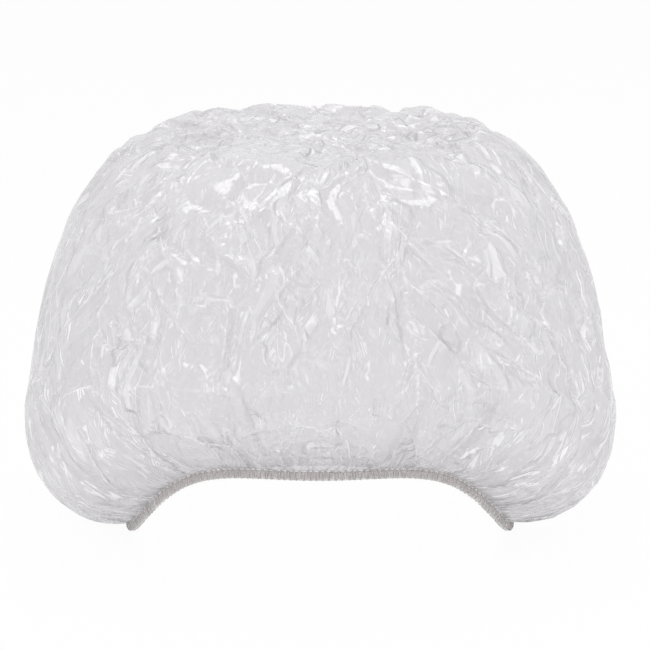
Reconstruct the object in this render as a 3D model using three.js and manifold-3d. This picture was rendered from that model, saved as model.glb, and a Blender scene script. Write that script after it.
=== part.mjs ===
// A clear film shower cap: a round sheet of film gathered into a dome, its edge folded into a hem round an
// elastic tape and overlocked with three threads. Millimetres, +Z up, the wearer faces -Y, and Z = 0 is the
// surface that the rear of the hem stands on. The left and right halves are separate solids, parted by a fine
// gap on the plane X = 0, so that they can be pulled apart as the elastic stretches.

import * as THREE from "three";
import { mergeVertices } from "three/addons/utils/BufferGeometryUtils.js";
import Module from "manifold-3d";

// Mouth of the cap, measured on the middle of the elastic's lower edge
const MOUTH_WIDTH = 152;
const MOUTH_LENGTH = 190;
const MOUTH_FORWARD = 12; // from the middle of the dome to the middle of the mouth, towards the face
const BROW_RISE = 42; // how far the hem lifts over the brow
const BROW_ARCH = 1.2; // exponent of the lift: more narrows the arch and rounds its tips

// Dome of film
const DOME_WIDTH = 234;
const DOME_DEPTH = 250;
const DOME_HEIGHT = 158;
const BULGE_OVER_NAPE = 47; // from the hem's upper edge up to the widest ring
const BULGE_OVER_BROW = 35;
const PLAN_SQUARENESS = 2.6; // superellipse exponents: 1 is straight, 2 is an ellipse, more is boxier
const NAPE_SQUARENESS = 2.4;
const BROW_SQUARENESS = 1.25;
const CROWN_SQUARENESS = 3.3;
const CROWN_TAPER = 0.14; // share of its width that the crown loses on the way up
const CROWN_FLAT = 0.925; // share of the crown's curve that is left under its flat top
const FILM_WALL = 0.8;

// Crumples, which dent the dome inwards in facets
const CRUMPLE_DEPTH = 2.8;
const CRUMPLE_SPACING = 24;
const CRUMPLE_UPRIGHT = 0.5; // how fast they change up the dome, as a share of how fast they change round it
const CRUMPLE_WAVES = 9;
const CRUMPLE_START = 0.5; // where they reach their depth, on the way from the hem (0) to the widest ring (1)
const EXTREME_TURN = 16; // exponent of the undented stretch at each outermost point: more is narrower
const EXTREME_CLIMB = 0.2; // how far that stretch reaches up and down, on the same way

// Gathers, where the film is drawn in on the elastic
const GATHERS = 28;
const GATHER_DEPTH = 1.6;
const GATHER_CREST = 0.35; // where they are deepest, on the way from the hem (0) to the widest ring (1)

// Elastic tape, and the clearance that its hem and its threads keep
const ELASTIC_WIDTH = 3;
const ELASTIC_THICKNESS = 1;
const CLEARANCE = 0.3;

// Overlock seam
const THREAD_DIAMETER = 0.6;
const STITCH_PITCH = 5;

// Bar tack that closes the elastic's loop at the nape
const TACK_LENGTH = 10;
const TACK_HEIGHT = 2.4;
const TACK_THICKNESS = 0.8;

// Gap between the left and the right half
const PARTING_GAP = 0.6;

// Counts of facets
const UNDERSIDE_ROWS = 4;
const CROWN_ROWS = 11;

// Colours and finishes
const FILM = { color: 0xe2e2e4, roughness: 0.2, metalness: 0, transparent: true, opacity: 0.6 };
const ELASTIC = { color: 0xd8d2cd, roughness: 0.8, metalness: 0 };
const THREAD = { color: 0xefedea, roughness: 0.7, metalness: 0 };

// Hem section, across the tape (outwards is positive) and up from its lowest face
const CHANNEL_HALF = ELASTIC_THICKNESS / 2 + CLEARANCE;
const HEM_HALF = CHANNEL_HALF + FILM_WALL;
const TAPE_LOW = FILM_WALL + CLEARANCE;
const TAPE_HIGH = TAPE_LOW + ELASTIC_WIDTH;
const HEM_TOP = TAPE_HIGH + CLEARANCE;
const THREAD_OFF = HEM_HALF + CLEARANCE + THREAD_DIAMETER / 2;
const TACK_NEAR = THREAD_OFF + THREAD_DIAMETER / 2 + CLEARANCE;

// The gathers are facets, with one column of points on each crest and one in each valley
const COLUMNS = 2 * GATHERS;

const GOLDEN_ANGLE = Math.PI * (3 - Math.sqrt(5));

const wasm = await Module();
wasm.setup();

// How far the hem has risen at a turn round the mouth, from 1 over the brow to 0 from the ears to the nape.
// The turn is an angle from the brow towards +X.
function riseAt(turn) {
  const forwards = Math.max(0, Math.cos(turn)) ** BROW_ARCH;
  return Math.sin((Math.PI / 2) * forwards) ** 2;
}

// A point beside the elastic: across it (outwards is positive), and up from the hem's lowest face.
function besideMouth(turn, across, up) {
  const a = MOUTH_WIDTH / 2;
  const b = MOUTH_LENGTH / 2;
  const outwards = new THREE.Vector2(Math.sin(turn) / a, -Math.cos(turn) / b).normalize();
  return new THREE.Vector3(
    a * Math.sin(turn) + across * outwards.x,
    -MOUTH_FORWARD - b * Math.cos(turn) + across * outwards.y,
    BROW_RISE * riseAt(turn) + up,
  );
}

// The point of a superellipse of unit size at an angle: how far out and how far up it is.
function superellipse(angle, squareness) {
  const cos = Math.cos(angle);
  const sin = Math.sin(angle);
  const radius = (Math.abs(cos) ** squareness + Math.abs(sin) ** squareness) ** (-1 / squareness);
  return { out: radius * cos, up: radius * sin };
}

// The widest ring of the dome, which the film reaches over the hem.
function equatorPoint(turn, hemHeight) {
  const plan = superellipse(turn, PLAN_SQUARENESS);
  const bulge = THREE.MathUtils.lerp(BULGE_OVER_NAPE, BULGE_OVER_BROW, riseAt(turn));
  return new THREE.Vector3((DOME_WIDTH / 2) * plan.up, (-DOME_DEPTH / 2) * plan.out, hemHeight + bulge);
}

// The smooth dome: climb runs from 0 at the hem, through 1 at the widest ring, to 2 at the top.
function domePoint(turn, climb) {
  const rim = besideMouth(turn, HEM_HALF, HEM_TOP);
  const equator = equatorPoint(turn, rim.z);
  if (climb < 1) {
    const squareness = THREE.MathUtils.lerp(NAPE_SQUARENESS, BROW_SQUARENESS, riseAt(turn));
    const { out, up } = superellipse((1 - climb) * (Math.PI / 2), squareness);
    const point = rim.clone().lerp(equator, out);
    point.z = equator.z - (equator.z - rim.z) * up;
    return point;
  }
  const { out, up } = superellipse((climb - 1) * (Math.PI / 2), CROWN_SQUARENESS);
  const spread = out * (1 - CROWN_TAPER * up);
  const height = THREE.MathUtils.lerp(equator.z, DOME_HEIGHT, Math.min(1, up / CROWN_FLAT));
  return new THREE.Vector3(equator.x * spread, equator.y * spread, height);
}

// The dome's outward direction, from short steps along its surface.
function domeNormal(turn, climb) {
  const step = 1e-3;
  const low = Math.max(climb - step, 0);
  const high = Math.min(climb + step, 2 - step);
  const up = domePoint(turn, high).sub(domePoint(turn, low));
  const round = domePoint(turn + step, climb).sub(domePoint(turn - step, climb));
  return round.cross(up).normalize();
}

// How far a gather stands out of the smooth dome: nothing at the hem, most at the crest, fading to the top.
function gatherAt(turn, climb) {
  const share = climb / GATHER_CREST;
  return GATHER_DEPTH * Math.cos(GATHERS * turn) * share * Math.exp(1 - share);
}

// How deep a crumple dents the dome at a point: the sum of waves that run evenly in all directions, above zero.
// The left half mirrors the right one. The foremost, rearmost and outermost points of the dome stay where they are.
function crumpleAt(turn, climb) {
  const place = domePoint(turn, climb);
  place.x = Math.abs(place.x);
  let sum = 0;
  for (let wave = 0; wave < CRUMPLE_WAVES; wave++) {
    const up = 1 - (2 * wave + 1) / CRUMPLE_WAVES;
    const level = Math.sqrt(1 - up * up);
    const heading = wave * GOLDEN_ANGLE;
    const way = new THREE.Vector3(level * Math.cos(heading), level * Math.sin(heading), up * CRUMPLE_UPRIGHT);
    sum += Math.cos(((2 * Math.PI) / CRUMPLE_SPACING) * way.dot(place) + wave * wave);
  }
  const dent = THREE.MathUtils.clamp(sum / Math.sqrt(CRUMPLE_WAVES), 0, 1);
  const nearExtreme = Math.cos(2 * turn) ** EXTREME_TURN * Math.exp(-(((climb - 1) / EXTREME_CLIMB) ** 2));
  return CRUMPLE_DEPTH * dent * Math.min(1, climb / CRUMPLE_START) * (1 - nearExtreme);
}

// A point of the crumpled and gathered film, a depth inside its outer face.
function filmPoint(turn, climb, depth) {
  const out = gatherAt(turn, climb) - crumpleAt(turn, climb) - depth;
  return domePoint(turn, climb).addScaledVector(domeNormal(turn, climb), out);
}

// A closed solid that goes once round the cap, through the section that sectionAt gives at each turn.
// A stretch of section that doesn't move, as on the dome's axis, collapses and is left out. The second half of a
// section runs back along the first, so its cells are halved the other way: a thin wall's two faces then match.
function roundSolid(columns, sectionAt) {
  const sections = [];
  for (let column = 0; column < columns; column++) {
    sections.push(sectionAt((column / columns) * 2 * Math.PI, column));
  }
  const size = sections[0].length;
  const positions = new Float32Array(sections.flat().flatMap((point) => point.toArray()));
  const index = [];
  for (let column = 0; column < columns; column++) {
    const here = column * size;
    const next = ((column + 1) % columns) * size;
    for (let row = 0; row < size; row++) {
      const after = (row + 1) % size;
      if (row < size / 2) {
        index.push(here + row, next + after, next + row);
        index.push(here + row, here + after, next + after);
      } else {
        index.push(here + row, here + after, next + row);
        index.push(here + after, next + after, next + row);
      }
    }
  }
  const geometry = new THREE.BufferGeometry();
  geometry.setAttribute("position", new THREE.BufferAttribute(positions, 3));
  geometry.setIndex(index);
  return toSolid(geometry);
}

// A geometry as a solid that can be cut, with its shared points merged and its collapsed faces dropped.
function toSolid(geometry) {
  geometry.deleteAttribute("normal");
  geometry.deleteAttribute("uv");
  const merged = mergeVertices(geometry, 1e-4);
  const corners = merged.index.array;
  const faces = [];
  for (let i = 0; i < corners.length; i += 3) {
    const [a, b, c] = corners.slice(i, i + 3);
    if (a !== b && b !== c && c !== a) {
      faces.push(a, b, c);
    }
  }
  const vertProperties = merged.getAttribute("position").array;
  return new wasm.Manifold(new wasm.Mesh({ numProp: 3, vertProperties, triVerts: new Uint32Array(faces) }));
}

// A solid block from one corner to the other.
function block(low, high) {
  const size = new THREE.Vector3().subVectors(high, low);
  const middle = new THREE.Vector3().addVectors(low, high).multiplyScalar(0.5);
  return toSolid(new THREE.BoxGeometry(size.x, size.y, size.z).translate(middle.x, middle.y, middle.z));
}

function toMesh(name, solid, finish) {
  const { numProp, vertProperties, triVerts } = solid.getMesh();
  const geometry = new THREE.BufferGeometry();
  geometry.setAttribute("position", new THREE.BufferAttribute(vertProperties, numProp));
  geometry.setIndex(new THREE.BufferAttribute(triVerts, 1));
  const faceted = geometry.toNonIndexed();
  faceted.computeVertexNormals();
  const mesh = new THREE.Mesh(faceted, new THREE.MeshStandardMaterial(finish));
  mesh.name = name;
  return mesh;
}

// The film: down the outside of the dome, round the hem's two leaves, and up the inside.
function filmSection(turn) {
  const climbs = [];
  for (let row = 0; row < UNDERSIDE_ROWS; row++) {
    climbs.push(row / UNDERSIDE_ROWS);
  }
  for (let row = 0; row < CROWN_ROWS; row++) {
    climbs.push(1 + row / CROWN_ROWS);
  }
  const top = (depth) => new THREE.Vector3(0, 0, DOME_HEIGHT - depth);
  const hem = [
    [HEM_HALF, 0],
    [-HEM_HALF, 0],
    [-HEM_HALF, HEM_TOP],
    [-CHANNEL_HALF, HEM_TOP],
    [-CHANNEL_HALF, FILM_WALL],
    [CHANNEL_HALF, FILM_WALL],
    [CHANNEL_HALF, HEM_TOP + FILM_WALL],
  ];
  return [
    top(0),
    ...climbs.toReversed().map((climb) => filmPoint(turn, climb, 0)),
    ...hem.map(([across, up]) => besideMouth(turn, across, up)),
    ...climbs.map((climb) => filmPoint(turn, climb, FILM_WALL)),
    top(FILM_WALL),
  ];
}

// The elastic tape, which stands on edge inside the hem.
function elasticSection(turn) {
  const half = ELASTIC_THICKNESS / 2;
  return [
    besideMouth(turn, half, TAPE_HIGH),
    besideMouth(turn, half, TAPE_LOW),
    besideMouth(turn, -half, TAPE_LOW),
    besideMouth(turn, -half, TAPE_HIGH),
  ];
}

// A thread's four-sided section round a point beside the hem.
function threadSection(turn, across, up) {
  const half = THREAD_DIAMETER / 2;
  return [
    besideMouth(turn, across, up + half),
    besideMouth(turn, across + half, up),
    besideMouth(turn, across, up - half),
    besideMouth(turn, across - half, up),
  ];
}

// The needle's thread runs straight along the hem's upper edge, over the tape.
const NEEDLE_UP = HEM_TOP - CLEARANCE - THREAD_DIAMETER / 2;

// The loopers' threads zigzag on the hem's two faces, from its lower edge to just below the needle's thread.
const LOOPER_LOW = CLEARANCE + THREAD_DIAMETER;
const LOOPER_HIGH = NEEDLE_UP - THREAD_DIAMETER - CLEARANCE;

function looperSolid(across) {
  const halfWidth = MOUTH_WIDTH / 2;
  const halfLength = MOUTH_LENGTH / 2;
  const girth = Math.PI * (halfWidth + halfLength);
  const columns = 2 * Math.round(girth / STITCH_PITCH);
  return roundSolid(columns, (turn, column) => {
    return threadSection(turn, across, column % 2 ? LOOPER_LOW : LOOPER_HIGH);
  });
}

// The bar tack: a short stretch of a loop inside the looper's thread, at the nape.
function tackSolid() {
  const middle = (TAPE_LOW + TAPE_HIGH) / 2;
  const loop = roundSolid(COLUMNS, (turn) => [
    besideMouth(turn, -TACK_NEAR, middle + TACK_HEIGHT / 2),
    besideMouth(turn, -TACK_NEAR, middle - TACK_HEIGHT / 2),
    besideMouth(turn, -TACK_NEAR - TACK_THICKNESS, middle - TACK_HEIGHT / 2),
    besideMouth(turn, -TACK_NEAR - TACK_THICKNESS, middle + TACK_HEIGHT / 2),
  ]);
  const nape = block(
    new THREE.Vector3(-TACK_LENGTH / 2, 0, 0),
    new THREE.Vector3(TACK_LENGTH / 2, DOME_DEPTH, DOME_HEIGHT),
  );
  return loop.intersect(nape);
}

const loops = [
  ["film", roundSolid(COLUMNS, filmSection), FILM],
  ["elastic", roundSolid(COLUMNS, elasticSection), ELASTIC],
  ["needle_thread", roundSolid(COLUMNS, (turn) => threadSection(turn, THREAD_OFF, NEEDLE_UP)), THREAD],
  ["outer_looper_thread", looperSolid(THREAD_OFF), THREAD],
  ["inner_looper_thread", looperSolid(-THREAD_OFF), THREAD],
];

// Each loop is parted on the plane X = 0 into its left and its right half.
const cap = new THREE.Group();
for (const [side, sign] of [
  ["left", -1],
  ["right", 1],
]) {
  const inner = (sign * PARTING_GAP) / 2;
  const outer = sign * DOME_WIDTH;
  const half = block(
    new THREE.Vector3(Math.min(inner, outer), -DOME_DEPTH, -DOME_HEIGHT),
    new THREE.Vector3(Math.max(inner, outer), DOME_DEPTH, 2 * DOME_HEIGHT),
  );
  const group = new THREE.Group();
  for (const [name, solid, finish] of loops) {
    group.add(toMesh(`${name}_${side}`, solid.intersect(half), finish));
  }
  cap.add(group);
}
cap.add(toMesh("elastic_tack", tackSolid(), THREAD));

export default cap;
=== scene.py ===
import bpy
import numpy as np
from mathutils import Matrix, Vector


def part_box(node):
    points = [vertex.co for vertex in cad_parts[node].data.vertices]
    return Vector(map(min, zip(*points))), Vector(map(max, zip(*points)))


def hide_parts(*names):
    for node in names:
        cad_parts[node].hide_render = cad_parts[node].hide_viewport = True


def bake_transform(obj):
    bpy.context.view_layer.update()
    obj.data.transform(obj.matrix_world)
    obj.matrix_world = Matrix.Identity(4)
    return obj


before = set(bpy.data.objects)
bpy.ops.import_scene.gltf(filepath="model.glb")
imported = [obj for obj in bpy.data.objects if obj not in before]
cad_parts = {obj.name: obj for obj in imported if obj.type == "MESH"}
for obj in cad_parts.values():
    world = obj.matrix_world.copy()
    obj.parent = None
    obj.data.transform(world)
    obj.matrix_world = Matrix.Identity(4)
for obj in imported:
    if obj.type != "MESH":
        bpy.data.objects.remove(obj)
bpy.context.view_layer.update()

scene = bpy.context.scene
scene.view_settings.view_transform = "Standard"

# Film
# One round of clear polyethylene film, 0.025 mm thick, drawn in on the elastic until it stands up as a loose
# dome. Its edge is folded in round the elastic as a hem and overlocked, and handling has crumpled it.

MM = 0.001
FLAT_DIAMETER = 550 * MM

# The mouth's oval is the elastic's, measured on the middle of the tape
TAPE_WIDTH = 3 * MM
TAPE_THICKNESS = 1 * MM
tape_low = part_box("elastic_left")[0]
tape_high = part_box("elastic_right")[1]
MOUTH_WIDTH = tape_high.x - tape_low.x - TAPE_THICKNESS
MOUTH_LENGTH = tape_high.y - tape_low.y - TAPE_THICKNESS
MOUTH_MIDDLE = (tape_high.y + tape_low.y) / 2
BROW_RISE = tape_high.z - tape_low.z - TAPE_WIDTH
BROW_ARCH = 1.2  # exponent of the lift over the brow: more narrows the arch

# The dome, whose squareness is a superellipse's exponent: 1 is straight, 2 is an ellipse, more is boxier
DOME_WIDTH = 234 * MM
DOME_DEPTH = 250 * MM
DOME_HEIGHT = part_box("film_left")[1].z
BULGE_OVER_NAPE = 47 * MM  # from the hem's upper edge up to the widest ring
BULGE_OVER_BROW = 35 * MM
PLAN_SQUARENESS = 2.6
NAPE_SQUARENESS = 2.4
BROW_SQUARENESS = 1.25
CROWN_SQUARENESS = 3.3
CROWN_TAPER = 0.14  # share of its width that the crown loses on the way up
CROWN_FLAT = 0.925  # share of the curve's height at which the flat top cuts it off

# The hem is an oval roll of film round the tape, finely ribbed where the elastic has drawn it in
HEM_HALF = 1.4 * MM
HEM_LOW = 0.4 * MM
HEM_TALL = 4.0 * MM
HEM_FIRST = np.radians(25)  # where the dome meets the roll's outside, as an angle from the roll's upper edge
HEM_LAST = np.radians(335)  # where the turned-in film ends, on the roll's inside
HEM_ROWS = 7
RIBS = 430
RIB_DEPTH = 0.34  # share of the roll's half thickness that the valley between two ribs takes
RIB_SLANT = 0.45  # how far a rib at the temples leans to each side of upright, in ribs
UNEVEN_WAVES = ((37, 0), (61, 2), (89, 4))  # waves in a turn, and where they start
UNEVEN_SHARE = 0.06  # how far they shift a rib or a stitch, in ribs or stitches


def hem_lift(turn):
    """How far the hem has risen, from 1 over the brow to 0 from the ears to the nape.

    The turn is an angle from the brow towards +X."""
    forwards = np.maximum(0, np.cos(turn)) ** BROW_ARCH
    return np.sin(np.pi / 2 * forwards) ** 2


def beside_mouth(turn, across, up):
    """Points beside the elastic: across it (outwards is positive) and up from the hem's lowest edge."""
    out_x = np.sin(turn) / MOUTH_WIDTH
    out_y = -np.cos(turn) / MOUTH_LENGTH
    length = np.hypot(out_x, out_y)
    x = MOUTH_WIDTH / 2 * np.sin(turn) + across * out_x / length
    y = MOUTH_MIDDLE - MOUTH_LENGTH / 2 * np.cos(turn) + across * out_y / length
    return np.stack([x, y, BROW_RISE * hem_lift(turn) + up], axis=-1)


def unevenly(count, turn):
    """How many of the hem's unevenly spaced ribs or stitches come between the brow and a turn."""
    drift = sum(np.sin(waves * turn + start) for waves, start in UNEVEN_WAVES)
    return count * turn / (2 * np.pi) + UNEVEN_SHARE * drift


def hem_point(turn, angle, proud=0):
    """The hem's skin: angle goes round its section, from 0 at its upper edge down its outside."""
    rib = unevenly(RIBS, turn) + RIB_SLANT * np.sin(turn) * np.cos(angle)
    valley = 1 - np.abs(np.sin(np.pi * rib))
    swell = HEM_HALF * (1 - RIB_DEPTH * valley) + proud
    rise = HEM_TALL / 2 + proud
    return beside_mouth(turn, swell * np.sin(angle), HEM_LOW + HEM_TALL / 2 + rise * np.cos(angle))


def superellipse(angle, squareness):
    """How far out and how far up the points of a superellipse of unit size are."""
    cos, sin = np.cos(angle), np.sin(angle)
    radius = (np.abs(cos) ** squareness + np.abs(sin) ** squareness) ** (-1 / squareness)
    return radius * cos, radius * sin


def dome_point(turn, climb):
    """The smooth dome under the crumples: climb is 0 at the hem, 1 at the widest ring and 2 at the top."""
    lift = hem_lift(turn)
    first_up = HEM_LOW + HEM_TALL / 2 * (1 + np.cos(HEM_FIRST))
    rim = beside_mouth(turn, HEM_HALF * np.sin(HEM_FIRST), first_up)
    plan_forward, plan_side = superellipse(turn, PLAN_SQUARENESS)
    bulge = BULGE_OVER_NAPE + (BULGE_OVER_BROW - BULGE_OVER_NAPE) * lift
    widest = np.stack(
        [DOME_WIDTH / 2 * plan_side, -DOME_DEPTH / 2 * plan_forward, rim[..., 2] + bulge], axis=-1
    )
    squareness = NAPE_SQUARENESS + (BROW_SQUARENESS - NAPE_SQUARENESS) * lift
    out, drop = superellipse(np.clip(1 - climb, 0, 1) * np.pi / 2, squareness)
    under = rim + (widest - rim) * out[..., None]
    under[..., 2] = widest[..., 2] - (widest[..., 2] - rim[..., 2]) * drop
    out, rise = superellipse(np.clip(climb - 1, 0, 1) * np.pi / 2, CROWN_SQUARENESS)
    crown = widest * (out * (1 - CROWN_TAPER * rise))[..., None]
    crown[..., 2] = widest[..., 2] + (DOME_HEIGHT - widest[..., 2]) * np.minimum(1, rise / CROWN_FLAT)
    return np.where((climb < 1)[..., None], under, crown)


SHORT_STEP = 1e-3
OFF_TOP = 20 * SHORT_STEP  # how near the top the dome's directions are still taken
TINY = 1e-9  # keeps lengths, and areas below, from being divided by when they are nothing
TINY_AREA = 1e-12


def unit(vectors):
    """Vectors of the same directions and of unit length."""
    return vectors / np.maximum(np.linalg.norm(vectors, axis=-1, keepdims=True), TINY)


def dome_ways(turn, climb):
    """The smooth dome's directions: round it, and outwards from it."""
    off_top = np.clip(climb, SHORT_STEP, 2 - OFF_TOP)
    round_way = unit(dome_point(turn + SHORT_STEP, off_top) - dome_point(turn - SHORT_STEP, off_top))
    up_way = dome_point(turn, off_top + SHORT_STEP) - dome_point(turn, off_top - SHORT_STEP)
    return round_way, unit(np.cross(round_way, up_way))


# The main crumples and gathers, as on the solid: relief at the corners of large facets, flat in between
CRUMPLE_DEPTH = 2.8 * MM
CRUMPLE_SPACING = 24 * MM
CRUMPLE_UPRIGHT = 0.5  # how fast they change up the dome, as a share of how fast they change round it
CRUMPLE_WAVES = 9
CRUMPLE_START = 0.5  # the climb at which they reach their depth
EXTREME_TURN = 16  # exponent of the undented stretch at each outermost point: more is narrower
EXTREME_CLIMB = 0.2  # how far that stretch reaches up and down
GATHERS = 28
GATHER_DEPTH = 1.6 * MM
GATHER_CREST = 0.35  # the climb at which they are deepest
UNDERSIDE_ROWS = 4
CROWN_ROWS = 11
GOLDEN_ANGLE = np.pi * (3 - np.sqrt(5))
facet_turn = np.arange(2 * GATHERS + 1) / GATHERS * np.pi
facet_climb = np.concatenate([np.arange(UNDERSIDE_ROWS) / UNDERSIDE_ROWS, np.linspace(1, 2, CROWN_ROWS + 1)])


def main_relief(turn, climb):
    """How far the main gathers and crumples stand out of the smooth dome; less than 0 is inwards."""
    from_hem = climb / GATHER_CREST
    gather = GATHER_DEPTH * np.cos(GATHERS * turn) * from_hem * np.exp(1 - from_hem)
    place = dome_point(turn, climb)
    place[..., 0] = np.abs(place[..., 0])
    total = 0
    for wave in range(CRUMPLE_WAVES):
        up = 1 - (2 * wave + 1) / CRUMPLE_WAVES
        level = np.sqrt(1 - up**2)
        heading = wave * GOLDEN_ANGLE
        way = np.array([level * np.cos(heading), level * np.sin(heading), up * CRUMPLE_UPRIGHT])
        total = total + np.cos(2 * np.pi / CRUMPLE_SPACING * (place @ way) + wave**2)
    dent = np.clip(total / np.sqrt(CRUMPLE_WAVES), 0, 1)
    near_extreme = np.cos(2 * turn) ** EXTREME_TURN * np.exp(-(((climb - 1) / EXTREME_CLIMB) ** 2))
    return gather - CRUMPLE_DEPTH * dent * np.minimum(1, climb / CRUMPLE_START) * (1 - near_extreme)


facet_relief = main_relief(*np.meshgrid(facet_turn, facet_climb, indexing="ij"))
facet_relief[:, -1] = 0


def facet_height(turn, climb):
    """The main relief between the facets' corners: each cell is two flat facets."""
    column = turn % (2 * np.pi) / np.pi * GATHERS
    left = np.clip(column.astype(int), 0, 2 * GATHERS - 1)
    along = column - left
    low = np.clip(np.searchsorted(facet_climb, climb, side="right") - 1, 0, len(facet_climb) - 2)
    above = (climb - facet_climb[low]) / (facet_climb[low + 1] - facet_climb[low])
    first, second = facet_relief[left, low], facet_relief[left + 1, low]
    third, fourth = facet_relief[left, low + 1], facet_relief[left + 1, low + 1]
    lower = first + along * (second - first) + above * (third - first)
    upper = fourth + (1 - along) * (third - fourth) + (1 - above) * (second - fourth)
    return np.where(along + above < 1, lower, upper)


# Lengths down the smooth dome, from the top to the hem, so that the film's rings can be spaced evenly on it
MERIDIANS = 48
MERIDIAN_POINTS = 400
sample_climb = np.linspace(2, 0, MERIDIAN_POINTS)
sample_turn = np.linspace(0, 2 * np.pi, MERIDIANS, endpoint=False)
meridians = dome_point(*np.broadcast_arrays(sample_turn[:, None], sample_climb[None]))
steps_down = np.linalg.norm(np.diff(meridians, axis=1), axis=-1).mean(axis=0)
way_down = np.concatenate([[0], np.cumsum(steps_down)])


def film_rest(share, turn):
    """The dome with its main relief, by share of the way down, and its ways round and outwards."""
    climb = np.interp(share * way_down[-1], way_down, sample_climb)
    round_way, outwards = dome_ways(turn, climb)
    return dome_point(turn, climb) + outwards * facet_height(turn, climb)[..., None], round_way, outwards


LATTICE_JITTER = 0.25  # how far points are put off an even lattice, in cells
LATTICE_TURN = 0.3
LATTICE_STEPS = ((1, 0), (0, 1), (1, -1))  # the three ways along a lattice of triangles, in rows and columns
random = np.random.default_rng(7)


def flat_lattice(rings):
    """The flat round as a lattice of triangles: each point's ring, share of the way out and turn."""
    row, column = np.meshgrid(np.arange(-rings, rings + 1), np.arange(-rings, rings + 1), indexing="ij")
    ring = np.maximum.reduce([abs(row), abs(column), abs(row + column)])
    sixths = np.zeros(row.shape)
    corners = ((1, 0), (0, 1), (-1, 1), (-1, 0), (0, -1), (1, -1))
    for side, start in enumerate(corners):
        end = corners[(side + 1) % len(corners)]
        along = (row - ring * start[0]) * (end[0] - start[0])
        if end[0] == start[0]:
            along = (column - ring * start[1]) * (end[1] - start[1])
        on_side = row == ring * start[0] + along * (end[0] - start[0])
        on_side &= column == ring * start[1] + along * (end[1] - start[1])
        on_side &= (along >= 0) & (along < ring)
        sixths[on_side] = side + along[on_side] / ring[on_side]
    jitter = random.uniform(-LATTICE_JITTER, LATTICE_JITTER, (2, *ring.shape)) * (ring < rings)
    turn = (sixths + jitter[0] / np.maximum(ring, 1)) / len(corners) * 2 * np.pi + LATTICE_TURN
    return ring, np.clip((ring + jitter[1]) / rings, 0, 1), turn


def chains(size, step, count):
    """Windows on a lattice that hold the first and the later points of each straight chain along a step."""
    reach = count - 1
    down, right = step
    first_column = reach if right < 0 else 0
    windows = []
    for link in range(count):
        row = link * down
        column = first_column + link * right
        rows = slice(row, row + size - reach * down)
        columns = slice(column, column + size - reach * abs(right))
        windows.append((rows, columns))
    return windows


# Spare film comes in patches, so that tightly crumpled film lies beside film that is nearly smooth
PATCH_SIZE = 40 * MM
PATCH_WAVES = 24
PATCH_SWING = 0.55
PATCH_LEAST = 0.15
PATCH_MOST = 2
wave_ways = random.normal(size=(PATCH_WAVES, 3)) * 2 * np.pi / PATCH_SIZE / np.sqrt(3)
wave_starts = random.uniform(0, 2 * np.pi, PATCH_WAVES)


def patches(place):
    """How much of the spare film a place has, as a multiple of the mean."""
    waves = np.sin(np.tensordot(place, wave_ways, (-1, 1)) + wave_starts).sum(axis=-1)
    return np.clip(1 + PATCH_SWING * waves / np.sqrt(PATCH_WAVES / 2), PATCH_LEAST, PATCH_MOST)


# Places on the film are shares of the way down from the top, at 0, to the hem, at 1
SMOOTH_CROWN = (0.25, 0.4)  # between these, the crown's lesser spare film comes up to the dome's
CROWN_SPARE = 0.35
HEM_GATHER = 0.7  # how much more film than hem there is at the hem, as a share of the hem
GATHER_FROM = 0.85
GATHER_ONSET = 1.5  # exponent of the gathering: more keeps it closer to the hem
HEM_TAPER = 0.2  # how far from the hem the film has all its room to crumple
HEM_ROOM = 0.05  # share of its room that it has at the hem
ROOM_INSIDE = 2 * MM
ROOM_OUTSIDE = 0.3 * MM
PULL_SHARE = 0.24  # shares of the pull, of the last move and of the way back into its room that a step takes
DRIFT_SHARE = 0.92
WALL_SHARE = 0.6
CREASE_TURN = 0.05  # how far the film bends, as a share of a cell, before it starts to give way as a crease


def overlap(share):
    """How much film is gathered over itself: nothing on the dome, more and more towards the hem."""
    return HEM_GATHER * np.clip((share - GATHER_FROM) / (1 - GATHER_FROM), 0, 1) ** GATHER_ONSET


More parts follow.
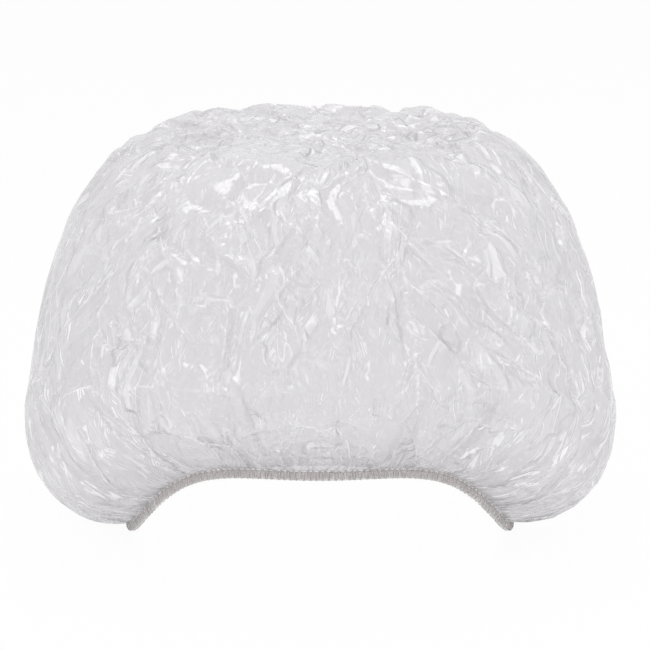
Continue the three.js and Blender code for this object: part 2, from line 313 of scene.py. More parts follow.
def crumple(rings, shift, spare_round, spare_down, noise, steps, stiffness):
    """Film on a lattice, larger than the dome it lies on, relaxed until it has found its own creases."""
    ring, share, turn = flat_lattice(rings)
    is_film = ring <= rings
    rest, round_way, outwards = film_rest(share, turn)

    size = len(share)
    edges = []
    bows = []
    patch = patches(rest) * np.interp(share, SMOOTH_CROWN, (CROWN_SPARE, 1))
    for step in LATTICE_STEPS:
        start, end = chains(size, step, 2)
        edge = rest[end] - rest[start]
        round_part = (edge * (round_way[start] + round_way[end]) / 2).sum(axis=-1)
        down_part = np.sqrt(np.maximum((edge**2).sum(axis=-1) - round_part**2, 0))
        gather = overlap(share[start])
        spare = (patch[start] + patch[end]) / 2
        film_round = round_part * (1 + spare_round * spare + gather)
        length = np.hypot(film_round, down_part * (1 + spare_down * spare))
        holds = is_film[start] & is_film[end]
        edges.append((start, end, length.astype(np.float32), holds.astype(np.float32)))
        before, middle, after = chains(size, step, 3)
        limit = CREASE_TURN**2 * ((rest[after] - rest[before]) ** 2).sum(axis=-1) / 4
        sharp = 1 / limit.clip(TINY_AREA)
        holds = stiffness * (is_film[before] & is_film[middle] & is_film[after])
        bows.append((before, middle, after, sharp.astype(np.float32), holds.astype(np.float32)))

    free = (ring < rings)[..., None].astype(np.float32)
    room = np.clip((1 - share) / HEM_TAPER, HEM_ROOM, 1)
    outwards = outwards.astype(np.float32)
    film = rest + shift + outwards * random.normal(size=share.shape)[..., None] * noise * free
    film = film.astype(np.float32)
    drift = np.zeros_like(film)
    for _ in range(steps):
        pull = np.zeros_like(film)
        for start, end, length, holds in edges:
            edge = film[end] - film[start]
            now = np.sqrt(np.einsum("ijk,ijk->ij", edge, edge)) + np.float32(TINY)
            force = (holds * (1 - length / now))[..., None] * edge
            pull[start] += force
            pull[end] -= force
        for before, middle, after, sharp, holds in bows:
            bow = (film[before] + film[after]) / 2 - film[middle]
            bow *= (holds / (1 + np.einsum("ijk,ijk->ij", bow, bow) * sharp))[..., None]
            pull[middle] += 2 * bow
            pull[before] -= bow
            pull[after] -= bow
        moved = film + (pull * PULL_SHARE + drift * DRIFT_SHARE) * free
        off = ((moved - rest) * outwards).sum(axis=-1)
        kept = np.clip(off, -ROOM_INSIDE * room, ROOM_OUTSIDE * room)
        moved += (((kept - off) * WALL_SHARE)[..., None] * outwards * free).astype(np.float32)
        drift = moved - film
        film = moved
    return film, rest, ring, share, turn


def halve(shift):
    """Shifts on a lattice, carried to the lattice with half its cells' size."""
    size = 2 * len(shift) - 1
    fine = np.zeros((size, size, 3))
    fine[::2, ::2] = shift
    fine[1::2, ::2] = (shift[:-1] + shift[1:]) / 2
    fine[::2, 1::2] = (shift[:, :-1] + shift[:, 1:]) / 2
    fine[1::2, 1::2] = (shift[1:, :-1] + shift[:-1, 1:]) / 2
    return fine


# Large crumples come first, then finer ones on them. The columns are rings of the lattice, spare film round
# and down the dome, how far points are first shaken, steps of relaxing, and stiffness against bending.
shift = 0
for rings, spare_round, spare_down, noise, steps, stiffness in (
    (21, 0.02, 0.01, 1.0 * MM, 60, 0.1),
    (42, 0.06, 0.04, 0.8 * MM, 160, 0.05),
    (84, 0.075, 0.055, 0.3 * MM, 200, 0.4),
    (168, 0.085, 0.065, 0.03 * MM, 160, 0.45),
):
    film, rest, ring, share, turn = crumple(rings, shift, spare_round, spare_down, noise, steps, stiffness)
    shift = halve(film - rest)

# Creases, which the finish whitens as the film's stress whitening and as painted highlights: how far the film
# turns at each point, along the way in which it turns most
crease = np.zeros(share.shape)
for step in LATTICE_STEPS:
    before, middle, after = chains(len(share), step, 3)
    straight = (unit(film[middle] - film[before]) * unit(film[after] - film[middle])).sum(axis=-1)
    crease[middle] = np.maximum(crease[middle], 1 - straight)

# The mesh: the lattice, then rows of twice as many points round the hem
is_film = ring <= rings
number = np.full(share.shape, -1)
number[is_film] = np.arange(is_film.sum())
first, second = number[:-1, :-1], number[1:, :-1]
third, fourth = number[:-1, 1:], number[1:, 1:]
dome_faces = np.concatenate(
    [np.stack([first, second, third], axis=-1), np.stack([fourth, third, second], axis=-1)]
).reshape(-1, 3)
dome_faces = dome_faces[(dome_faces >= 0).all(axis=1)]

edge_number = number[ring == rings][np.argsort(turn[ring == rings])]
edge_turn = np.sort(turn[ring == rings])
hem_turn = np.stack([edge_turn, edge_turn + np.pi / len(edge_turn)], axis=-1).ravel()
hem_angle = np.linspace(HEM_FIRST, HEM_LAST, HEM_ROWS + 1)
hem = hem_point(hem_turn[None], hem_angle[1:, None])
film[ring == rings] = hem_point(turn[ring == rings], HEM_FIRST)
hem_number = is_film.sum() + np.arange(hem[..., 0].size).reshape(HEM_ROWS, -1)

top, top_next = edge_number, np.roll(edge_number, -1)
low, low_middle, low_next = hem_number[0, ::2], hem_number[0, 1::2], np.roll(hem_number[0, ::2], -1)
join_faces = np.concatenate(
    [
        np.stack([top, low, low_middle], axis=-1),
        np.stack([top, low_middle, top_next], axis=-1),
        np.stack([top_next, low_middle, low_next], axis=-1),
    ]
)
above, below = hem_number[:-1], hem_number[1:]
above_next, below_next = np.roll(above, -1, axis=1), np.roll(below, -1, axis=1)
hem_faces = np.concatenate(
    [np.stack([above, below, below_next], axis=-1), np.stack([above, below_next, above_next], axis=-1)]
).reshape(-1, 3)

SHARP_CREASE = np.radians(14)
film_points = np.concatenate([film[is_film], hem.reshape(-1, 3)])
film_mesh = bpy.data.meshes.new("film")
film_mesh.from_pydata(film_points, [], np.concatenate([dome_faces, join_faces, hem_faces]))
film_mesh.shade_smooth()
film_mesh.set_sharp_from_angle(angle=SHARP_CREASE)
film_piece = bpy.data.objects.new("film", film_mesh)
scene.collection.objects.link(film_piece)

# For each point: where it was on the flat round, which is the map for the film's pattern, how sharply it is
# creased, and how many layers deep it lies
HEM_SHARE = 0.06  # film in the hem, as a share of the way from the top to the hem
MAP_HALF = 0.49  # the flat round's radius on the map
hem_share = 1 + HEM_SHARE * np.arange(1, HEM_ROWS + 1) / HEM_ROWS
flat_share = np.concatenate([share[is_film], np.repeat(hem_share, len(hem_turn))])
flat_turn = np.concatenate([turn[is_film], np.tile(hem_turn, HEM_ROWS)])
flat_place = np.stack([np.sin(flat_turn), -np.cos(flat_turn), 0 * flat_turn], axis=-1)
flat_place *= FLAT_DIAMETER / 2 / (1 + HEM_SHARE) * flat_share[:, None]
for name, kind, field, values in (
    ("flat_place", "FLOAT_VECTOR", "vector", flat_place.ravel()),
    ("crease", "FLOAT", "value", np.concatenate([crease[is_film], np.zeros(hem[..., 0].size)])),
    ("layers", "FLOAT", "value", 1 + overlap(np.minimum(flat_share, 1))),
):
    film_mesh.attributes.new(name, kind, "POINT").data.foreach_set(field, values)
corner_point = np.zeros(len(film_mesh.loops), dtype=np.int32)
film_mesh.loops.foreach_get("vertex_index", corner_point)
flat_map = 0.5 + MAP_HALF * flat_place[corner_point, :2] / (FLAT_DIAMETER / 2)
film_mesh.uv_layers.new(name="OFBake").data.foreach_set("uv", flat_map.ravel())
is_hem = np.zeros(len(film_mesh.polygons), dtype=np.int32)
is_hem[len(dome_faces):] = 1
film_mesh.polygons.foreach_set("material_index", is_hem)


def feed(tree, node, inputs):
    """Sets a shader node's inputs, each to a value or to a socket that it is linked from."""
    for name, value in inputs.items():
        if isinstance(value, bpy.types.NodeSocket):
            tree.links.new(value, node.inputs[name])
        else:
            node.inputs[name].default_value = value


def add_node(tree, kind, inputs=None, **settings):
    """A shader node with its settings and inputs."""
    node = tree.nodes.new("ShaderNode" + kind)
    for name, value in settings.items():
        setattr(node, name, value)
    feed(tree, node, inputs or {})
    return node


def value_math(tree, operation, *values):
    """A Math node's result."""
    return add_node(tree, "Math", dict(enumerate(values)), operation=operation).outputs[0]


def vector_math(tree, operation, *values, result=0):
    """A Vector Math node's result."""
    return add_node(tree, "VectorMath", dict(enumerate(values)), operation=operation).outputs[result]


def scaled(tree, vector, factor):
    """A vector or a colour times a factor."""
    return add_node(tree, "VectorMath", {0: vector, "Scale": factor}, operation="SCALE").outputs[0]


def remap(tree, value, from_min=0, from_max=1, to_min=0, to_max=1):
    """A value carried from one range to another, and held within it."""
    ranges = {"From Min": from_min, "From Max": from_max, "To Min": to_min, "To Max": to_max}
    return add_node(tree, "MapRange", {"Value": value, **ranges}).outputs[0]


def mixed(tree, share, first, second):
    """A colour that goes from the first to the second as the share goes from 0 to 1."""
    return add_node(tree, "MixRGB", {"Fac": share, "Color1": (*first, 1), "Color2": (*second, 1)}).outputs[0]


def node_group(name, inputs, outputs):
    """A shader node group with named sockets, and its input and output nodes."""
    tree = bpy.data.node_groups.new(name, "ShaderNodeTree")
    for way, sockets in (("INPUT", inputs), ("OUTPUT", outputs)):
        for socket, kind in sockets.items():
            tree.interface.new_socket(socket, in_out=way, socket_type="NodeSocket" + kind)
    return tree, tree.nodes.new("NodeGroupInput"), tree.nodes.new("NodeGroupOutput")


def new_material(name):
    """A material with its node tree and its Principled shader."""
    material = bpy.data.materials.new(name)
    material.use_nodes = True
    return material, material.node_tree, material.node_tree.nodes["Principled BSDF"]


# Crinkles finer than the mesh: bundles of long narrow facets at random tilts, drawn out from the crown to the
# hem and dying out at a bundle's edge, with smooth film between bundles, the haze that crinkling leaves, and
# painted highlights on the facets tilted one way and along their edges.
# Bundles are cells on a drum round the crown's axis, which is shortened so that they come out long.
DRUM_RADIUS = 130 * MM
CROWN_RADIUS = 70 * MM  # nearer the axis than this, the drum closes in, so that bundles don't fan out there
DRAWN_OUT = 2.2
BUNDLE_BEND = 0.6  # how far a bundle's outline wanders, and how often, in bundle widths
BUNDLE_BENDS = 1.2
BUNDLE_EDGE = (0.02, 0.14)  # in from a bundle's edge, where its facets start and where they are whole
BUNDLE_SPREAD = np.radians(90)  # range of the facets' headings, about the way from crown to hem
FACET_WANDER = 4  # how far a facet's edge strays, in facets, and how often
FACET_STRAYS = 0.3
FACET_SLIM = 0.3  # how slowly it strays along the facet, as a share of how fast it strays across
HIGHLIGHT_TILT = (0.1, 0.8)  # the tilts at which a facet starts to take a painted highlight and at which it is whitest
HIGHLIGHT_WHITEST = 0.9
HIGHLIGHT_EDGE = 0.09  # width of a facet's painted highlight along its edge, as a share of the facet


def facet_bundles(tree, place, width, pitch, smooth_share):
    """Heights of the facets from 0 to 1, and how white each is: haze and painted highlights on facets tilted
    one way, with their edges whiter.
    """
    from_crown = vector_math(tree, "LENGTH", place, result="Value")
    to_drum = value_math(tree, "DIVIDE", DRUM_RADIUS, value_math(tree, "MAXIMUM", from_crown, CROWN_RADIUS))
    down = add_node(tree, "CombineXYZ", {"Z": value_math(tree, "DIVIDE", from_crown, DRAWN_OUT)}).outputs[0]
    on_drum = vector_math(tree, "ADD", scaled(tree, place, to_drum), down)
    bends = {"Vector": place, "Scale": BUNDLE_BENDS / width, "Detail": 1}
    bend = add_node(tree, "TexNoise", bends).outputs["Color"]
    bent = vector_math(tree, "ADD", on_drum, scaled(tree, bend, BUNDLE_BEND * width))

    cells = {"Vector": bent, "Scale": 1 / width}
    cell = add_node(tree, "TexVoronoi", cells)
    chance = add_node(tree, "SeparateColor", {"Color": cell.outputs["Color"]}).outputs
    to_edge = add_node(tree, "TexVoronoi", cells, feature="DISTANCE_TO_EDGE").outputs["Distance"]
    strong = remap(tree, chance[2], from_min=smooth_share)
    strong = value_math(tree, "MULTIPLY", strong, remap(tree, to_edge, *BUNDLE_EDGE))

    middle = add_node(tree, "SeparateXYZ", {"Vector": cell.outputs["Position"]}).outputs
    heading = value_math(tree, "ARCTAN2", middle["Y"], middle["X"])
    spread = value_math(tree, "MULTIPLY", value_math(tree, "SUBTRACT", chance[0], 0.5), BUNDLE_SPREAD)
    turning = {"Vector": place, "Angle": value_math(tree, "SUBTRACT", spread, heading)}
    turned = add_node(tree, "VectorRotate", turning, rotation_type="Z_AXIS").outputs[0]
    slim = vector_math(tree, "MULTIPLY", turned, (FACET_SLIM, 1, 1))
    strays = {"Vector": slim, "Scale": FACET_STRAYS / pitch, "Detail": 1}
    stray = add_node(tree, "TexNoise", strays).outputs["Fac"]
    across = add_node(tree, "SeparateXYZ", {"Vector": turned}).outputs["Y"]
    across = value_math(tree, "DIVIDE", across, pitch)
    count = value_math(tree, "MULTIPLY", value_math(tree, "ADD", chance[1], 0.5), across)
    count = value_math(tree, "ADD", count, value_math(tree, "MULTIPLY", stray, FACET_WANDER))
    number = value_math(tree, "FLOOR", count)
    part = value_math(tree, "FRACT", count)

    heights = []
    for ahead in (0, 1):
        seed = {"X": value_math(tree, "ADD", number, ahead), "Y": chance[2]}
        seed = {"Vector": add_node(tree, "CombineXYZ", seed).outputs[0]}
        heights.append(add_node(tree, "TexWhiteNoise", seed, noise_dimensions="2D").outputs[0])
    height = remap(tree, part, to_min=heights[0], to_max=heights[1])
    # Painted highlights: facets tilted one way are whiter, as if they caught the light, and so are their
    # edges
    white = remap(tree, value_math(tree, "SUBTRACT", heights[1], heights[0]), *HIGHLIGHT_TILT, to_max=HIGHLIGHT_WHITEST)
    from_edge = value_math(tree, "MINIMUM", part, value_math(tree, "SUBTRACT", 1, part))
    line = remap(tree, from_edge, from_max=HIGHLIGHT_EDGE, to_min=1, to_max=0)
    white = value_math(tree, "MAXIMUM", white, value_math(tree, "MULTIPLY", line, heights[0]))
    return value_math(tree, "MULTIPLY", height, strong), value_math(tree, "MULTIPLY", white, strong)


FINE_HEIGHT = 0.4  # of the wide bundles' height
SIDES_WHITER_FROM = 100 * MM  # from here out to either side, the fine crinkles' haze and painted highlights are whiter
SIDES_WHITER_TO = 170 * MM
SIDES_WHITER = 2.2
crinkle, given, result = node_group(
    "film_crinkle", inputs={"Place": "Vector"}, outputs={"Height": "Float", "Haze_and_highlight": "Float"}
)
place = given.outputs["Place"]
wide_height, wide_haze_and_highlight = facet_bundles(crinkle, place, width=16 * MM, pitch=4 * MM, smooth_share=0.3)
fine_height, fine_haze_and_highlight = facet_bundles(crinkle, place, width=8 * MM, pitch=1.8 * MM, smooth_share=0.35)
tiny_haze_and_highlight = facet_bundles(crinkle, place, width=3.5 * MM, pitch=1 * MM, smooth_share=0.55)[1]
fine_height = value_math(crinkle, "MULTIPLY", fine_height, FINE_HEIGHT)
aside = value_math(crinkle, "ABSOLUTE", add_node(crinkle, "SeparateXYZ", {"Vector": place}).outputs["X"])
to_sides = remap(crinkle, aside, SIDES_WHITER_FROM, SIDES_WHITER_TO, 1, SIDES_WHITER)
# The fine crinkles' haze and painted highlights grow whiter out to either side
haze_and_highlight = value_math(crinkle, "MULTIPLY", value_math(crinkle, "MAXIMUM", fine_haze_and_highlight, tiny_haze_and_highlight), to_sides)
haze_and_highlight = value_math(crinkle, "MAXIMUM", value_math(crinkle, "MINIMUM", haze_and_highlight, 1), wide_haze_and_highlight)
feed(crinkle, result, {"Height": value_math(crinkle, "ADD", wide_height, fine_height), "Haze_and_highlight": haze_and_highlight})

CRINKLE_HEIGHT = 1.8 * MM
CREASE_WHITE_AND_HIGHLIGHT = (0.1, 0.9)  # the turns at which a crease starts to whiten, with stress whitening and painted highlight, and at which it is whitest
CREASE_WHITEST_AND_HIGHLIGHT = 0.75
GATHERED_GREY_AND_SHADE = 0.84  # how much darker film is where it lies gathered at the hem: partly its layers, partly painted shade above the band
FACING_BLEND = 0.35
ROUGHNESS = (0.1, 0.3)  # of clear and of hazed film
LIGHT_HELD = 0.4  # share of its cover that the film has for light, most of which it scatters onwards


def film_finish(name, clear, white, face_on, edge_on, haze_and_highlight_cover):
    """Clear film: see-through face on, less so edge on, and white where it is creased and crinkled, with haze
    and painted highlights.
    """
    material, tree, shader = new_material(name)
    place = add_node(tree, "Attribute", attribute_name="flat_place").outputs["Vector"]
    crease = add_node(tree, "Attribute", attribute_name="crease").outputs["Fac"]
    layers = add_node(tree, "Attribute", attribute_name="layers").outputs["Fac"]
    crinkles = add_node(tree, "Group", node_tree=crinkle)
    feed(tree, crinkles, {"Place": place})
    gathered = remap(tree, layers, from_min=1, from_max=1 + HEM_GATHER)
    # Creases whiten: partly the film's stress whitening, partly painted highlights along the folds
    crease = remap(tree, crease, *CREASE_WHITE_AND_HIGHLIGHT, to_max=CREASE_WHITEST_AND_HIGHLIGHT)
    crease = value_math(tree, "MULTIPLY", crease, value_math(tree, "SUBTRACT", 1, gathered))
    haze_and_highlight = value_math(tree, "MAXIMUM", crease, crinkles.outputs["Haze_and_highlight"])
    # Painted shade: the film greys where it is gathered, partly for its layers, partly as shade low on the
    # cap above the band
    grey_and_shade = remap(tree, gathered, to_min=1, to_max=GATHERED_GREY_AND_SHADE)
    relief = {"Strength": 1, "Distance": CRINKLE_HEIGHT, "Height": crinkles.outputs["Height"]}
    bump = add_node(tree, "Bump", relief).outputs[0]

    # Each layer covers what is behind it, and layers add up; light is held back less than the eye is
    facing = add_node(tree, "LayerWeight", {"Blend": FACING_BLEND, "Normal": bump}).outputs["Facing"]
    cover = remap(tree, facing, to_min=face_on, to_max=edge_on)
    # Haze and painted highlights also make the film cover more, so that their white shows
    cover = value_math(tree, "ADD", cover, value_math(tree, "MULTIPLY", haze_and_highlight, haze_and_highlight_cover))
    bare = value_math(tree, "MAXIMUM", value_math(tree, "SUBTRACT", 1, cover), 0)
    cover = value_math(tree, "SUBTRACT", 1, value_math(tree, "POWER", bare, layers))
    path = add_node(tree, "LightPath").outputs
    lighting = value_math(tree, "MAXIMUM", path["Is Shadow Ray"], path["Is Diffuse Ray"])
    held = remap(tree, lighting, to_min=1, to_max=LIGHT_HELD)
    feed(
        tree,
        shader,
        {
            "Base Color": scaled(tree, mixed(tree, haze_and_highlight, clear, white), grey_and_shade),
            "Roughness": remap(tree, haze_and_highlight, to_min=ROUGHNESS[0], to_max=ROUGHNESS[1]),
            "Specular IOR Level": 1,
            "Alpha": value_math(tree, "MULTIPLY", cover, held),
            "Normal": bump,
        },
    )
    return material


clear_film = film_finish(
    "clear_film",
    clear=(0.655, 0.64, 0.666),
    white=(0.96, 0.95, 0.965),
    face_on=0.58,
    edge_on=0.62,
    haze_and_highlight_cover=0.35,
)
hem_film = film_finish(
    "hem_film",
    clear=(0.76, 0.725, 0.725),
    white=(0.93, 0.905, 0.9),
    face_on=0.35,
    edge_on=0.6,
    haze_and_highlight_cover=0.2,
)
film_mesh.materials.append(clear_film)
film_mesh.materials.append(hem_film)


def join_cap(piece, slot, *nodes):
    """The piece's placing is baked into its mesh, and it stands for its CAD nodes, which are hidden. The slot
    is not used.
    """
    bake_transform(piece)
    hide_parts(*nodes)


join_cap(film_piece, "film", "film_left", "film_right")

# Elastic
# A woven tape of rubber cores and beige-grey yarn, 3 mm wide, laid in the hem while it is stretched.
# It shows through the film as the band's colour, and its let-go length is what gathers the film.

TAPE_SIDES = 16
TAPE_STEPS = 6 * RIBS
TAPE_SQUARENESS = 6
TAPE_RIB = 0.1  # share of its half thickness that its ribs take
TAPE_MIDDLE = tape_low.z + TAPE_WIDTH / 2
tape_turn = np.arange(TAPE_STEPS) / TAPE_STEPS * 2 * np.pi
tape_angle = np.arange(TAPE_SIDES) / TAPE_SIDES * 2 * np.pi
tape_up, tape_across = superellipse(tape_angle, TAPE_SQUARENESS)
rib = np.cos(2 * np.pi * unevenly(RIBS, tape_turn))[:, None]
tape = beside_mouth(
    tape_turn[:, None],
    TAPE_THICKNESS / 2 * (1 - TAPE_RIB * (1 + rib)) * tape_across[None],
    TAPE_MIDDLE + TAPE_WIDTH / 2 * tape_up[None],
)


def loop_mesh(name, rings, closed=True):
    """A mesh through rings of points, with a map of how far along and round each corner is, in metres."""
    count, sides = rings.shape[:2]
    here = np.arange(count if closed else count - 1)
    after = (here + 1) % count
    side = np.arange(sides)
    beside = (side + 1) % sides
    faces = np.stack(
        [
            here[:, None] * sides + side,
            after[:, None] * sides + side,
            after[:, None] * sides + beside,
            here[:, None] * sides + beside,
        ],
        axis=-1,
    ).reshape(-1, 4)
    mesh = bpy.data.meshes.new(name)
    mesh.from_pydata(rings.reshape(-1, 3), [], faces)
    mesh.shade_smooth()
    middle = rings.mean(axis=1)
    along = np.linalg.norm(np.roll(middle, -1, axis=0) - middle, axis=-1)
    along = np.concatenate([[0], np.cumsum(along)])
    around = np.linalg.norm(np.roll(rings[0], -1, axis=0) - rings[0], axis=-1)
    around = np.concatenate([[0], np.cumsum(around)])
    shape = (len(here), sides)
    corners = ((0, 0), (1, 0), (1, 1), (0, 1))
    u = np.stack([np.broadcast_to(along[here + ahead][:, None], shape) for ahead, _ in corners], axis=-1)
    v = np.stack([np.broadcast_to(around[side + over][None], shape) for _, over in corners], axis=-1)
    mesh.uv_layers.new(name="yarn_way").data.foreach_set("uv", np.stack([u, v], axis=-1).ravel())
    piece = bpy.data.objects.new(name, mesh)
    scene.collection.objects.link(piece)
    return piece


WARP_PITCH = 0.5 * MM
WEFT_PITCH = 0.7 * MM
WEAVE_HEIGHT = 0.15 * MM
SHADE_SCALE = 400  # patches of shade in a metre
SHADE_RANGE = (0.1, 0.5)
YARN_DARK = (0.52, 0.48, 0.477)
YARN_PALE = (0.7, 0.655, 0.65)
elastic_piece = loop_mesh("elastic", tape)
elastic_material, tree, shader = new_material("woven_elastic")
way = add_node(tree, "UVMap", uv_map="yarn_way").outputs[0]
way = add_node(tree, "SeparateXYZ", {"Vector": way}).outputs
warp = value_math(tree, "SINE", value_math(tree, "MULTIPLY", way["Y"], 2 * np.pi / WARP_PITCH))
weft = value_math(tree, "SINE", value_math(tree, "MULTIPLY", way["X"], 2 * np.pi / WEFT_PITCH))
weave = remap(tree, value_math(tree, "MULTIPLY", warp, weft), from_min=-1)
place = add_node(tree, "TexCoord").outputs["Object"]
shade = add_node(tree, "TexNoise", {"Vector": place, "Scale": SHADE_SCALE, "Detail": 3}).outputs["Fac"]
# Painted shade: the tape is darker where its weave lies low, and in random patches of tone
hollow_shade_and_tone = remap(tree, value_math(tree, "MULTIPLY", weave, shade), *SHADE_RANGE)
relief = {"Strength": 0.6, "Distance": WEAVE_HEIGHT, "Height": weave}
feed(
    tree,
    shader,
    {
        "Base Color": mixed(tree, hollow_shade_and_tone, YARN_DARK, YARN_PALE),
        "Roughness": 0.8,
        "Normal": add_node(tree, "Bump", relief).outputs[0],
    },
)
elastic_piece.data.materials.append(elastic_material)
join_cap(elastic_piece, "elastic", "elastic_left", "elastic_right")

# Needle thread
# White bulked polyester sewing thread that runs along the hem's upper edge, through both leaves of film.
# It shows as a row of short stitches on the outside and dips to the inside between them.

STITCHES = 200
STITCH_POINTS = 10
STITCH_SQUARE = 3  # how squarely a stitch dips: more is squarer
STITCH_OUTSIDE = 0.6  # more than 0 leaves more of a stitch outside than inside
NEEDLE_RADIUS = 0.25 * MM
NEEDLE_UP = HEM_LOW + HEM_TALL / 2 * (1 + np.cos(HEM_FIRST))
NEEDLE_REACH = HEM_HALF * np.sin(HEM_FIRST) + NEEDLE_RADIUS
THREAD_SIDES = 8
SPACING_SAMPLES = 20  # in a stitch
UP = np.array([0, 0, 1.0])


def thread_rings(path, radius, reference, closed=True):
    """Rings of points round a thread's path; the reference is a direction that the path never takes."""
    ahead = np.roll(path, -1, axis=0) - np.roll(path, 1, axis=0) if closed else np.gradient(path, axis=0)
    side = unit(np.cross(ahead, reference))
    over = unit(np.cross(side, ahead))
    angle = np.arange(THREAD_SIDES) / THREAD_SIDES * 2 * np.pi
    ring = side[:, None] * np.cos(angle)[None, :, None] + over[:, None] * np.sin(angle)[None, :, None]
    return path[:, None] + radius * ring


def stitch_turn(stitch):
    """The turn at which that many stitches have passed, from the hem's uneven spacing."""
    turns = np.linspace(0, 2 * np.pi, SPACING_SAMPLES * STITCHES)
    passed = unevenly(STITCHES, turns) - unevenly(STITCHES, 0)
    return np.interp(stitch, passed, turns)


stitch = np.arange(STITCHES * STITCH_POINTS) / STITCH_POINTS
outside = np.tanh(STITCH_SQUARE * (STITCH_OUTSIDE - np.cos(2 * np.pi * stitch)))
needle_path = beside_mouth(stitch_turn(stitch), NEEDLE_REACH * outside, NEEDLE_UP)
needle_piece = loop_mesh("needle_thread", thread_rings(needle_path, NEEDLE_RADIUS, UP))

# Twisted yarn: two plies that wind round a thread, and the fluff that breaks up its colour
GIRTH = 2 * np.pi * NEEDLE_RADIUS
FLUFF_SCALE = 3000  # tufts in a metre
yarn, given, result = node_group(
    "twisted_yarn",
    inputs={"Way": "Vector", "Twists": "Float"},
    outputs={"Plies": "Float", "Fluff": "Float"},
)
way = add_node(yarn, "SeparateXYZ", {"Vector": given.outputs["Way"]}).outputs
twist = value_math(yarn, "MULTIPLY", way["X"], given.outputs["Twists"])
winding = value_math(yarn, "ADD", twist, value_math(yarn, "DIVIDE", way["Y"], GIRTH / 2))
plies = value_math(yarn, "ABSOLUTE", value_math(yarn, "SINE", value_math(yarn, "MULTIPLY", winding, np.pi)))
tufts = {"Vector": given.outputs["Way"], "Scale": FLUFF_SCALE, "Detail": 2}
feed(yarn, result, {"Plies": plies, "Fluff": add_node(yarn, "TexNoise", tufts).outputs["Fac"]})

TWIST_LENGTH = 0.9 * MM
PLY_HEIGHT = 0.1 * MM
FLUFF_PALE = 0.4  # how pale a ply is before its fluff is added


def thread_finish(name, dark, pale):
    """Matt sewing thread, shaded between its plies."""
    material, tree, shader = new_material(name)
    twisted = add_node(tree, "Group", node_tree=yarn)
    way = add_node(tree, "UVMap", uv_map="yarn_way").outputs[0]
    feed(tree, twisted, {"Way": way, "Twists": 1 / TWIST_LENGTH})
    plies = twisted.outputs["Plies"]
    hollow_shade_and_tone = value_math(tree, "MULTIPLY", plies, value_math(tree, "ADD", twisted.outputs["Fluff"], FLUFF_PALE))
    relief = {"Strength": 0.7, "Distance": PLY_HEIGHT, "Height": plies}
    feed(
        tree,
        shader,
        {
            "Base Color": mixed(tree, hollow_shade_and_tone, dark, pale),
            "Roughness": 0.7,
            "Sheen Weight": 0.3,
            "Normal": add_node(tree, "Bump", relief).outputs[0],
        },
    )
    return material


white_thread = thread_finish("white_thread", dark=(0.6, 0.59, 0.58), pale=(0.92, 0.92, 0.91))
needle_piece.data.materials.append(white_thread)
join_cap(needle_piece, "thread", "needle_thread_left", "needle_thread_right")

# Outer looper thread
# The overlock's upper looper thread, fine and beige, which zigzags down the hem's outside from the needle's
# stitches to its edge. Each leg down lies in the groove that its stitch draws into the gathered film.

LOOPER_RADIUS = 0.15 * MM
LOOPER_POINTS = 16
LOOPER_PAIRING = 0.3  # how far a stitch's two legs are drawn together
OUTER_SPAN = (np.radians(36), np.radians(150))


def looper_rings(span):
    """Rings of points round a looper's thread, which runs on the hem between two angles of its section."""
    stitch = np.arange(STITCHES * LOOPER_POINTS) / LOOPER_POINTS
    part = stitch % 1
    reach = 0.5 - 0.5 * np.cos(2 * np.pi * part)
    angle = span[0] + (span[1] - span[0]) * reach
    paired = stitch + LOOPER_PAIRING * np.sin(2 * np.pi * part) / (2 * np.pi)
    turn = stitch_turn(paired)
    on_hem = hem_point(turn, angle, LOOPER_RADIUS)
    off_hem = hem_point(turn, angle, 2 * LOOPER_RADIUS)
    return thread_rings(on_hem, LOOPER_RADIUS, off_hem - on_hem)


outer_piece = loop_mesh("outer_looper_thread", looper_rings(OUTER_SPAN))
beige_thread = thread_finish("beige_thread", dark=(0.42, 0.395, 0.39), pale=(0.66, 0.63, 0.625))
outer_piece.data.materials.append(beige_thread)
join_cap(outer_piece, "thread", "outer_looper_thread_left", "outer_looper_thread_right")

# Inner looper thread
# The lower looper thread, of the same beige yarn, which zigzags on the hem's inside.
# It meets the outer one along the hem's lower edge.

INNER_SPAN = (np.radians(324), np.radians(210))
inner_piece = loop_mesh("inner_looper_thread", looper_rings(INNER_SPAN))
inner_piece.data.materials.append(beige_thread)
join_cap(inner_piece, "thread", "inner_looper_thread_left", "inner_looper_thread_right")

# Elastic tack
# A bar tack of close zigzag stitches in white thread, which joins the elastic's two ends.
# It is sewn through the hem's inside at the nape.

TACK_STITCHES = 34
TACK_POINTS = 12
TACK_RADIUS = 0.25 * MM
TACK_ACROSS = HEM_HALF + 2.6 * TACK_RADIUS
TACK_SINK = 1.5 * TACK_RADIUS  # how far a stitch dips into the hem where it turns
TACK_BEND = 6  # how sharply it dips: more is sharper
tack_low, tack_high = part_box("elastic_tack")
tack_place = np.arange(TACK_STITCHES * TACK_POINTS + 1) / TACK_POINTS / TACK_STITCHES
zigzag = -np.cos(2 * np.pi * tack_place * TACK_STITCHES)
tack_turn = np.pi + (tack_place - 0.5) * (tack_high.x - tack_low.x) / (MOUTH_WIDTH / 2)
tack_up = (tack_low.z + tack_high.z) / 2 + zigzag * (tack_high.z - tack_low.z) / 2
tack_path = beside_mouth(tack_turn, -TACK_ACROSS + TACK_SINK * zigzag**TACK_BEND, tack_up)
inwards = beside_mouth(tack_turn, -1.0, 0) - beside_mouth(tack_turn, 0, 0)
tack_rings = thread_rings(tack_path, TACK_RADIUS, inwards, closed=False)
tack_piece = loop_mesh("elastic_tack", tack_rings, closed=False)
tack_piece.data.materials.append(white_thread)
join_cap(tack_piece, "thread", "elastic_tack")

# Stage
# A plain white floor that keeps a faint shadow, a soft white surround, six softboxes and the camera.
# Nothing here is part of the cap.

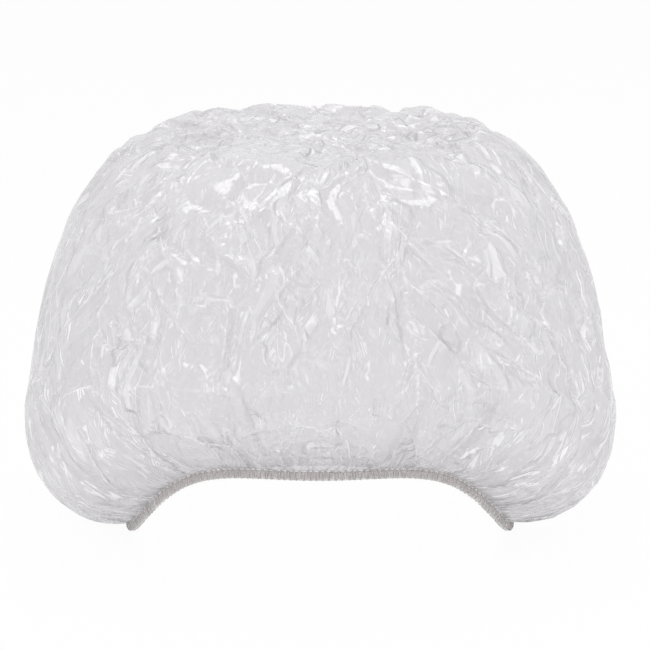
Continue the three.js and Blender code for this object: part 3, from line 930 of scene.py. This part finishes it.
FLOOR_HALF = 6.0
FLOOR_WHITE = 0.93  # how much of the plain white the floor shows, so that the rest keeps the shadow
floor_corners = [(x * FLOOR_HALF, y * FLOOR_HALF, 0) for x, y in ((-1, -1), (1, -1), (1, 1), (-1, 1))]
floor_mesh = bpy.data.meshes.new("floor")
floor_mesh.from_pydata(floor_corners, [], [(0, 1, 2, 3)])
floor = bpy.data.objects.new("floor", floor_mesh)
scene.collection.objects.link(floor)


def shows_white(tree, share):
    """How much of the plain white a ray sees: camera, mirrored and transmitted rays see that share of it."""
    path = add_node(tree, "LightPath").outputs
    seen = value_math(tree, "MAXIMUM", path["Is Camera Ray"], path["Is Glossy Ray"])
    seen = value_math(tree, "MAXIMUM", seen, path["Is Transmission Ray"])
    return value_math(tree, "MULTIPLY", seen, share)


floor_material, tree, paint = new_material("white_floor")
feed(tree, paint, {"Base Color": (0.94, 0.94, 0.94, 1), "Roughness": 0.9})
glow = add_node(tree, "Emission")
shares = {0: shows_white(tree, FLOOR_WHITE), 1: paint.outputs[0], 2: glow.outputs[0]}
feed(tree, tree.nodes["Material Output"], {"Surface": add_node(tree, "MixShader", shares).outputs[0]})
floor_mesh.materials.append(floor_material)

AMBIENT = 0.74
world = bpy.data.worlds.new("studio")
scene.world = world
world.use_nodes = True
tree = world.node_tree
strength = remap(tree, shows_white(tree, 1), to_min=AMBIENT, to_max=1)
feed(tree, tree.nodes["Background"], {"Color": (1, 1, 1, 1), "Strength": strength})

LAMPS_AIM = (0, 0, 0.09)


def softbox(name, place, size, power):
    """A rectangular lamp, in metres and watts, turned to the middle of the cap."""
    lamp = bpy.data.lights.new(name, "AREA")
    lamp.shape = "RECTANGLE"
    lamp.size, lamp.size_y = size
    lamp.energy = power
    holder = bpy.data.objects.new(name, lamp)
    scene.collection.objects.link(holder)
    holder.location = place
    holder.rotation_euler = (Vector(LAMPS_AIM) - Vector(place)).to_track_quat("-Z", "Y").to_euler()


for side, way in (("left", -1), ("right", 1)):
    softbox(f"{side}_softbox", place=(way * 0.9, -0.7, 0.6), size=(0.1, 0.9), power=1.3)
    softbox(f"{side}_front_softbox", place=(way * 0.7, -1.1, 0.15), size=(0.1, 0.5), power=0.9)
softbox("top_softbox", place=(0, 0.25, 1.1), size=(0.8, 0.35), power=2.9)
softbox("front_softbox", place=(0, -1.2, 0.8), size=(0.9, 0.1), power=0.5)

CAMERA_ELEVATION = np.radians(12)
CAMERA_DISTANCE = 1.5
CAMERA_AIM = Vector((0.002, 0, 0.0793))
FRAME_WIDTH = 0.26
lens = bpy.data.cameras.new("camera")
lens.sensor_width = 36
lens.lens = lens.sensor_width * CAMERA_DISTANCE / FRAME_WIDTH
camera = bpy.data.objects.new("camera", lens)
scene.collection.objects.link(camera)
away = Vector((0, -np.cos(CAMERA_ELEVATION), np.sin(CAMERA_ELEVATION)))
camera.location = CAMERA_AIM + away * CAMERA_DISTANCE
camera.rotation_euler = (-away).to_track_quat("-Z", "Y").to_euler()
scene.camera = camera
